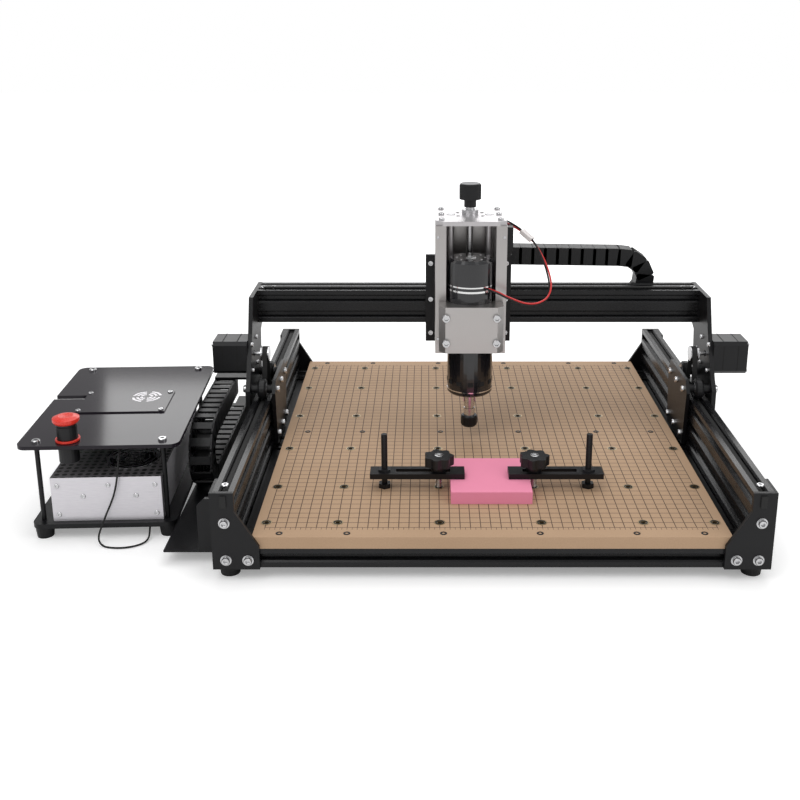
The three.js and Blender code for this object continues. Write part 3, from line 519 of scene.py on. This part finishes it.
def wire_beside(path, turn, twist):
    """A path wound round another, a little over a wire's radius away."""
    wound = []
    for i, p in enumerate(path):
        ahead = (path[min(i + 1, len(path) - 1)] - path[max(i - 1, 0)]).normalized()
        u, v, _ = axes_of(ahead)
        a = turn + twist * i / len(path)
        wound.append(p + (u * math.cos(a) + v * math.sin(a)) * 1.15)
    return wound


for wire, material, turn in (("red", red_wire, 0.0), ("black", rubber, math.pi)):
    path = wire_beside(lead_path, turn, 5.0)
    lead = Build().tube(path, 1.05, 10).make(f"spindle_lead_{wire}", material, "cable_sheath")
    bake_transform(lead)
    if wire == "red":
        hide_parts("spindle_lead")

cable_route = [
    (-377, -163, 99.5),
    (-378, -172, 90),
    (-379, -178.5, 72),
    (-384, -180.5, 50),
    (-394, -184, 26),
    (-400, -190, 8),
    (-394, -197, 1.6),
    (-380, -201, 1.3),
    (-366, -199, 1.3),
    (-355, -192, 1.5),
    (-351, -183, 3),
    (-352, -172, 8),
    (-354, -162, 10.8),
    (-356, -152, 11.7),
]
cable_path = smooth_path(cable_route)
cable = Build().tube(cable_path, 1.0, 12).make("sensor_cable_sheath", rubber, "cable_sheath", "base")
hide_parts("sensor_cable")

# ---- Spoilboard inserts and board screws ----

inserts, insert_rims = Build(), Build()
for x in (-220, -150, -50, 50, 150, 220):
    for y in (-230, -150, -50, 50, 150, 230):
        inserts.ring(3.4, 5.4, 44.6, 45.3, (x, y, 0), UP, 28)
        insert_rims.ring(3.0, 4.3, 44.6, 45.42, (x, y, 0), UP, 28)
        inserts.ring(2.4, 3.4, 36.0, 45.1, (x, y, 0), UP, 20)
    for y in (-252, 0, 252):
        insert_rims.screw((x * 0.93, y, 44.6), UP, 3.4, 0.9)
insert_rims.make("insert_rims", black_paint, "steel", "base")
inserts.make("insert_sleeves", insert_brass, "steel", "base")

# Black strips filling the gap between the board and each side rail: painted shade, a dark sheet standing
# in for the shadow there.
gap_shade = Build()
for side in (-1, 1):
    for near, far in ((-219.5, -20.5), (20.5, 219.5)):
        lo, hi = sorted((side * 226, side * 243.8))
        gap_shade.box((lo, near, 15), (hi, far, 31))
gap_shade.make("side_gap_shade", black_paint, "black_paint", "base", 0.0004)

# ---- Frame screws, belts and belt ends ----

bolts = Build()
belts = Build()
for sx in (-1, 1):
    for sy in (-1, 1):
        face = sy * 264
        out = (0, sy, 0)
        for x, z in ((RAIL_X, 62), (RAIL_X, 23), (233.4, 23)):
            bolts.ring(3.4, 5.4, 0, 0.8, (sx * x, face, z), out, 24)
            bolts.screw((sx * x, face + sy * 0.6, z), out, 4.0, 3.4)
        bolts.screw((sx * 267.5, sy * 243, 23), (sx, 0, 0), 4.2, 2.8)
        if sy < 0:
            bolts.screw((sx * 267.5, sy * 243, 73), (sx, 0, 0), 4.2, 2.8)
            bolts.screw((sx * RAIL_X, sy * 249, 93), UP, 3.6, 2.4)
        near, far = sorted((sy * 257, face + sy * 1.6))
        belts.box((sx * RAIL_X - 3, near, 78), (sx * RAIL_X + 3, far, 90))
    belts.box((sx * RAIL_X - 2.6, -259, 88.2), (sx * RAIL_X + 2.6, 259, 89.4))
bolts.make("frame_screws", steel, "steel", "base")
belts.make("y_belts", rubber, "cable_sheath", "base", 0.0003)

# ---- Gantry details ----

heads = Build()
loops = Build()
for side, s in (("left", -1), ("right", 1)):
    outer = s * 273
    for y in (-10, 54):
        heads.ring(2.0, 5.2, 0, 0.8, (outer, y, AXLE_Z), (s, 0, 0), 24)
        heads.screw((outer, y, AXLE_Z), (s, 0, 0), 4.4, 4.0)
        heads.ring(2.6, 4.7, 0, 7.8, (s * 267.8, y, AXLE_Z), (-s, 0, 0), 20)
    for y in (-10, 22, 54):
        heads.screw((s * 238, y, AXLE_Z), (-s, 0, 0), 3.8, 3.2)
        heads.screw((s * 238, y, 48), (-s, 0, 0), 3.8, 3.2)
    for y in (72, 92):
        for z in (173, 193):
            heads.screw((outer, y, z), (s, 0, 0), 4.2, 3.4)
    for y in (4, 36):
        for z in (121, 153):
            heads.screw((s * 268, y, z), (-s, 0, 0), 2.8, 2.4)
            heads.screw((s * 312.6, y, z), (s, 0, 0), 2.4, 1.6)
    for x in (s * 262, s * 250):
        heads.screw((x, 74, 203), UP, 3.4, 2.2)
    arc = []
    for k in range(13):
        a = math.pi - math.pi * k / 12
        arc.append((20 + 8.6 * math.cos(a), 137 + 8.6 * math.sin(a)))
    inner = []
    for k in range(13):
        a = math.pi * k / 12
        inner.append((20 + 7.4 * math.cos(a), 137 + 7.4 * math.sin(a)))
    outline = [(4, 89.4), (4, 95)] + arc + [(40, 95), (40, 89.4), (38.8, 89.4), (38.8, 95)]
    outline += inner + [(5.2, 95), (5.2, 89.4)]
    loops.prism(outline, (s * RAIL_X - 2.8, 0, 0), (0, 1, 0), UP, 5.6)
# Each motor's seam, as thin strips over its top, under it, and on its front and rear faces.
SEAM_STRIPS = (
    (4.4, 35.6, 156.45, 156.6),
    (4.4, 35.6, 117.4, 117.55),
    (0.4, 0.55, 121.5, 152.5),
    (39.45, 39.6, 121.5, 152.5),
)
seams = Build()
for s in (-1, 1):
    for near, far in ((284.0, 285.2), (301.0, 302.2)):
        lo, hi = sorted((s * near, s * far))
        for y0, y1, z0, z1 in SEAM_STRIPS:
            seams.box((lo, y0, z0), (hi, y1, z1))
seams.make("motor_seams", dark_hole, "motor_black", "gantry")
heads.make("gantry_screws", steel, "steel", "gantry")
loops.make("y_belt_loops", rubber, "cable_sheath", "gantry")

x_belt = Build().box((-262, 70.2, 204.0), (262, 74.8, 205.2))
x_belt.make("x_belt", rubber, "cable_sheath", "gantry", 0.0003)

for side, s in (("left", -1), ("right", 1)):
    for end, y in (("front", -10), ("rear", 54)):
        ring = Build()
        for direction in (-1, 1):
            ring.ring(3.0, 7.2, 4.6, 5.25, (s * RAIL_X, y, AXLE_Z), (direction, 0, 0), 24)
            ring.ring(7.8, 8.4, 4.6, 5.15, (s * RAIL_X, y, AXLE_Z), (direction, 0, 0), 24)
        ring.make(f"y_wheel_bearing_{side}_{end}", steel, "steel", f"y_wheel_{side}_{end}_body")

# ---- Cable chains ----


def chain(name, path, across, node_names, rung=0.62):
    """Links along a path in a plane; across is the direction of the chain's width.

    Rung is the share of each link's length that its cross bars cover.
    """
    links = Build()
    width, height = 25, 22
    total = length_of(path)
    count = int(total / CHAIN_PITCH)
    across = Vector(across)
    reach, index = 0.0, 0
    marks = []
    walked = 0.0
    for a, b in zip(path, path[1:]):
        step = (b - a).length
        while reach <= walked + step and index <= count:
            t = (reach - walked) / step
            marks.append(a.lerp(b, t))
            reach += total / (count + 0.001)
            index += 1
        walked += step
    for p, q in zip(marks, marks[1:]):
        middle = (p + q) / 2
        u = (q - p).normalized()
        v = across.cross(u).normalized()
        w = u.cross(v)
        half = (q - p).length / 2
        for s in (-1, 1):
            for inset, long, tall in ((0.0, half * 1.25, height / 2), (1.9, half * 0.7, height / 2 - 2)):
                thick = 1.8
                c = middle + across * s * (width / 2 - inset - thick / 2)
                corner = 1.6
                outline = [
                    (-long + corner, -tall),
                    (long - corner, -tall),
                    (long, -tall + corner),
                    (long, tall - corner),
                    (long - corner, tall),
                    (-long + corner, tall),
                    (-long, tall - corner),
                    (-long, -tall + corner),
                ]
                links.prism(outline, c - w * thick / 2, u, v, thick)
        for s in (-1, 1):
            c = middle + v * s * (height / 2 - 1.0)
            bar = half * rung
            outline = [(-bar, -1.0), (bar, -1.0), (bar, 1.0), (-bar, 1.0)]
            links.prism(outline, c - w * (width / 2 - 0.6), u, v, width - 1.2)
    obj = links.make(name, black_plastic, "black_plastic")
    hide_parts(*node_names)
    return obj


def bend_path(fixed, bend, low, direction, end, rise, place):
    """Along the lower run, round the bend and back along the upper run, on the chain's middle line."""
    radius = 28.5
    middle = low + 39.5
    points = [(fixed, middle - radius), (bend, middle - radius)]
    for k in range(1, 12):
        a = -math.pi / 2 + math.pi * k / 12
        points.append((bend + direction * radius * math.cos(a), middle + radius * math.sin(a)))
    points += [(bend, middle + radius), (end, middle + radius + rise)]
    return [Vector(place(*p)) for p in points]


y_path = bend_path(118, -72, 15.3, -1, 60, 0, lambda along, up: (-309.5, along, up))
y_chain = chain("y_chain", y_path, (1, 0, 0), ["y_chain_lower", "y_chain_upper"])
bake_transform(y_chain)
x_path = bend_path(-59, 182.5, 166, 1, 38.3, 2, lambda along, up: (along, 117.5, up))
x_chain = chain("x_chain", x_path, (0, 1, 0), ["x_chain_lower", "x_chain_upper"], rung=0.96)
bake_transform(x_chain)

# ---- Carriage and Z axis details ----

top = Build()
for x, y in ((-46, -12), (20, -12), (-46, 20), (20, 20), (-46, 54), (20, 54)):
    top.screw((x, y, 304), UP, 3.2, 2.4)
for x in (-35, 9):
    top.ring(0.1, 5.0, 304, 304.5, (x, 22, 0), UP, 24)
top.ring(4.6, 9.5, 304, 310, (CARRIAGE_X, SCREW_Y, 0), UP, 32)
for x in (-58, 32):
    for z in (154, 196, 240):
        top.screw((x, 50, z), FRONT, 3.2, 2.6)
for x, z in ((-50, 168), (24, 168), (-50, 286), (24, 286)):
    top.screw((x, -22, z), FRONT, 1.8, 0.9)
top.make("z_plate_screws", steel, "steel", "x_carriage_body")

holes = Build()
for x, y in ((-27, 12), (1, 12), (-27, 32), (1, 32)):
    holes.disc(2.0, 304, 304.25, (x, y, 0), UP, 20)
holes.make("z_plate_holes", dark_hole, "steel", "x_carriage_body")

switch = Build().box((27.2, 6, 264), (36, 30, 292)).box((28.4, 8, 258), (34, 20, 264))
switch.make("z_switch", black_plastic, "black_plastic", "x_carriage_body", 0.0006)
connector = Build()
p, q = lead_path[-12], lead_path[-20]
u, v, w = axes_of(q - p)
connector.prism([(-4, -2.6), (4, -2.6), (4, 2.6), (-4, 2.6)], p, u, v, (q - p).length)
connector.make("lead_connector", white_plastic, "cable_sheath", "x_carriage_body", 0.0005)

screw = Build()
thread = [(0, 155.3)]
height = 155.3
while height < 303:
    thread += [(4.0, height), (4.0, height + 1.0), (3.3, height + 1.3), (3.3, height + 2.0)]
    height += 2.3
thread += [(4.0, 304.3), (5.2, 304.3), (5.2, 322.0), (0, 322.0)]
screw.lathe(thread, (CARRIAGE_X, SCREW_Y, 0), UP, 20)
screw.make("z_screw_thread", steel, "steel", "z_screw_body")
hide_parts("z_screw")
knob = Build()
count = 96
profile = []
for i in range(count):
    a = 2 * math.pi * i / count
    r = 12.5 if i % 2 else 12.2
    profile.append((CARRIAGE_X + r * math.cos(a), SCREW_Y + r * math.sin(a)))
knob.prism(profile, (0, 0, 322), (1, 0, 0), (0, 1, 0), 16.6)
knob.disc(12.0, 338.6, 339.8, (CARRIAGE_X, SCREW_Y, 0), UP, 48, 0.7)
knob.disc(7.0, 313.0, 322.0, (CARRIAGE_X, SCREW_Y, 0), UP, 32, 0.6)
knob.make("z_knob_grip", black_plastic, "black_plastic", "z_screw_body")
cap = Build().disc(11.2, 339.75, 340.0, (CARRIAGE_X, SCREW_Y, 0), UP, 48)
cap.make("z_knob_cap", dark_steel, "steel", "z_screw_body")

axis = (CARRIAGE_X, SPINDLE_Y, 0)
bands = Build()
bands.ring(25.8, 26.25, 226, 228.2, axis, UP, 64)
bands.ring(25.8, 26.2, 231.5, 233.0, axis, UP, 64)
bands.ring(25.8, 26.2, 108.0, 109.2, axis, UP, 64)
bands.make("spindle_bands", chrome, "steel", "z_carriage")
crown = Build().ring(4.0, 6.5, 261.9, 262.9, axis, UP, 6)
for k in range(8):
    a = 2 * math.pi * k / 8
    crown.disc(1.6, 261.9, 262.5, (CARRIAGE_X + 16 * math.cos(a), SPINDLE_Y + 16 * math.sin(a), 0), UP, 12)
crown.make("spindle_top_fittings", chrome, "steel", "z_carriage")
vents = Build()
for k in range(12):
    a = 2 * math.pi * k / 12
    u = Vector((-math.sin(a), math.cos(a), 0))
    c = Vector((CARRIAGE_X + 26.02 * math.cos(a), SPINDLE_Y + 26.02 * math.sin(a), 0))
    vents.prism([(-3.2, 0), (3.2, 0), (3.2, 5), (-3.2, 5)], c + Vector((0, 0, 116)), u, UP, 0.18)
vents.make("spindle_vents", dark_hole, "black_plastic", "z_carriage")

clamp = Build()
for x in (-41, 15):
    for z in (172, 201):
        clamp.screw((x, -50, z), FRONT, 4.6, 4.2)
clamp.make("spindle_clamp_screws", steel, "steel", "z_carriage")

shaft = Build()
nose = [(0, 73), (6.5, 73), (6.5, 82), (5.6, 82.6), (5.6, 84.4), (6.5, 85), (6.5, 104.8), (0, 104.8)]
shaft.lathe(nose, axis, UP, 40)
for side in (-1, 1):
    shaft.box((CARRIAGE_X + side * 6.45 - 0.3, -17, 90), (CARRIAGE_X + side * 6.45 + 0.3, -11, 98))
shaft.make("spindle_nose", steel, "steel", "spindle_shaft_body")
nut = Build()
section = [(1.6, 59.4), (7.6, 59.4), (9.3, 61.4), (9.3, 71.6), (8.4, 73), (6.0, 73.2), (1.6, 73.2)]
nut.lathe(section + section[:1], axis, UP, 48)
for k in range(8):
    a = 2 * math.pi * k / 8
    u = Vector((-math.sin(a), math.cos(a), 0))
    c = Vector((CARRIAGE_X + 9.2 * math.cos(a), SPINDLE_Y + 9.2 * math.sin(a), 62.5))
    nut.prism([(-1.2, 0), (1.2, 0), (1.2, 8), (-1.2, 8)], c, u, UP, 0.5)
nut.make("collet_nut", black_paint, "steel", "spindle_shaft_body")
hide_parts("spindle_shaft")

# ---- Work clamps ----

studs = Build()
for s in (-1, 1):
    studs.disc(3.0, 45.2, 58.0, (s * STUD_X, STUD_Y, 0), UP, 20)
    for z in range(46, 58):
        studs.ring(2.9, 3.25, z, z + 0.45, (s * STUD_X, STUD_Y, 0), UP, 20)
    studs.screw((s * STUD_X, STUD_Y, 81.0), UP, 4.6, 0.9)
studs.make("clamp_studs", steel, "steel", "base")
for s, side in ((-1, "left"), (1, "right")):
    threads = Build()
    for k in range(34):
        z = 66 + k * 1.15
        threads.ring(2.9, 3.3, z, z + 0.5, (s * 107, STUD_Y, 0), UP, 16)
    threads.disc(7.2, 64.0, 66.4, (s * 107, STUD_Y, 0), UP, 6)
    threads.make(f"clamp_heel_thread_{side}", dark_steel, "clamp_steel", f"clamp_bar_{side}_body")

# ---- Control box details ----

box_turn = Matrix.Translation((-402.5, -58.2, 0)) @ Matrix.Rotation(math.radians(2.5), 4, "Z")
screws = Build(box_turn)
for x in (-64, 64):
    for y in (-110, 110):
        screws.screw((x, y, 105), UP, 4.4, 2.6)
for x, y in ((-44, 26), (46, 26), (-44, -28), (46, -28)):
    screws.screw((x, y, 106.5), UP, 2.8, 1.4)
for x in (-46, -20, 6, 34, 54):
    screws.screw((x, -115.5, 46 if x in (-20, 34) else 58), FRONT, 2.6, 1.2)
for x in (-46, 54):
    screws.screw((x, -115.5, 26), FRONT, 2.6, 1.2)
screws.make("box_screws", steel, "steel", "base")

grille = Build(box_turn)
for inner in (5, 11, 17, 23, 28):
    grille.ring(inner, inner + 1.1, 67.5, 68.4, (22, -68, 0), UP, 40)
for k in range(4):
    a = math.pi / 4 + k * math.pi / 2
    u = Vector((math.cos(a), math.sin(a), 0))
    v = Vector((-math.sin(a), math.cos(a), 0))
    grille.prism([(2, -0.6), (33, -0.6), (33, 0.6), (2, 0.6)], (22, -68, 67.5), u, v, 0.9)
grille.make("supply_fan_grille", steel, "steel", "base")

slots = Build(box_turn)
for ring_index, radius in enumerate((6, 10.5, 15)):
    for k in range(4):
        start = k * math.pi / 2 + 0.2
        stop = (k + 1) * math.pi / 2 - 0.2
        outer = [start + (stop - start) * j / 7 for j in range(8)]
        outline = [((radius + 1.3) * math.cos(a), (radius + 1.3) * math.sin(a)) for a in outer]
        outline += [((radius - 1.3) * math.cos(a), (radius - 1.3) * math.sin(a)) for a in reversed(outer)]
        slots.prism(outline, (22, 13, 106.45), (1, 0, 0), (0, 1, 0), 0.12)
slots.make("lid_fan_slots", sheet_metal, "smoked_acrylic", "base")
collar = Build(box_turn).ring(10.5, 12.4, 105.3, 107.7, (-32.7, -106.5, 0), UP, 40)
collar.make("stop_collar", red_plastic, "stop_red", "base", 0.0003)

# ---- Floor, light and world ----


def plain_background(tree, strength_socket, colour_socket):
    """White wherever the camera, a reflection or a clear material sees past the object."""
    path = tree.nodes.new("ShaderNodeLightPath")
    first = tree.nodes.new("ShaderNodeMath")
    first.operation = "MAXIMUM"
    tree.links.new(path.outputs["Is Camera Ray"], first.inputs[0])
    tree.links.new(path.outputs["Is Transmission Ray"], first.inputs[1])
    mix = tree.nodes.new("ShaderNodeMapRange")
    mix.inputs["To Min"].default_value = 0.5
    mix.inputs["To Max"].default_value = 1.0
    tree.links.new(first.outputs[0], mix.inputs["Value"])
    tree.links.new(mix.outputs[0], strength_socket)
    colour_socket.default_value = (1, 1, 1, 1)


world = bpy.data.worlds.new("world")
world.use_nodes = True
bpy.context.scene.world = world
background = world.node_tree.nodes["Background"]
plain_background(world.node_tree, background.inputs["Strength"], background.inputs["Color"])

floor_mesh = bpy.data.meshes.new("floor")
reach = 6.0
corners = [(-reach, -reach), (reach, -reach), (reach, reach), (-reach, reach)]
floor_mesh.from_pydata([(x, y, FLOOR) for x, y in corners], [], [(0, 1, 2, 3)])
floor = bpy.data.objects.new("floor", floor_mesh)
bpy.context.scene.collection.objects.link(floor)
floor_material = bpy.data.materials.new("floor")
floor_material.use_nodes = True
tree = floor_material.node_tree
shader = tree.nodes["Principled BSDF"]
shader.inputs["Base Color"].default_value = (0.9, 0.9, 0.9, 1)
shader.inputs["Roughness"].default_value = 0.9
shader.inputs["Specular IOR Level"].default_value = 0.1
path = tree.nodes.new("ShaderNodeLightPath")
glow = tree.nodes.new("ShaderNodeMath")
glow.operation = "MULTIPLY"
geometry = tree.nodes.new("ShaderNodeNewGeometry")
distance = tree.nodes.new("ShaderNodeVectorMath")
distance.operation = "LENGTH"
tree.links.new(geometry.outputs["Position"], distance.inputs[0])
rise = tree.nodes.new("ShaderNodeMapRange")
rise.inputs["From Min"].default_value = 0.7
rise.inputs["From Max"].default_value = 1.8
rise.inputs["To Min"].default_value = 0.28
rise.inputs["To Max"].default_value = 1.0
tree.links.new(distance.outputs["Value"], rise.inputs["Value"])
tree.links.new(path.outputs["Is Camera Ray"], glow.inputs[0])
tree.links.new(rise.outputs[0], glow.inputs[1])
shader.inputs["Emission Color"].default_value = (1, 1, 1, 1)
tree.links.new(glow.outputs[0], shader.inputs["Emission Strength"])
floor.data.materials.append(floor_material)


def area_light(name, place, aim, size, power, tall=None):
    data = bpy.data.lights.new(name, "AREA")
    data.shape = "RECTANGLE"
    data.size = size
    data.size_y = tall or size
    data.energy = power
    light = bpy.data.objects.new(name, data)
    light.location = place
    light.rotation_euler = (Vector(aim) - Vector(place)).to_track_quat("-Z", "Y").to_euler()
    bpy.context.scene.collection.objects.link(light)


area_light("key", (-0.9, -1.3, 1.7), (0, 0, 0.05), 1.4, 14)
area_light("fill", (1.4, -0.9, 1.2), (0, 0, 0.05), 1.2, 8)
area_light("overhead", (0, 0.5, 1.9), (0, 0, 0), 1.8, 14)
area_light("rear_strip", (0.0, 1.6, 0.9), (0, 0, 0.1), 2.0, 8, 0.5)

bpy.context.scene.view_settings.view_transform = "Standard"
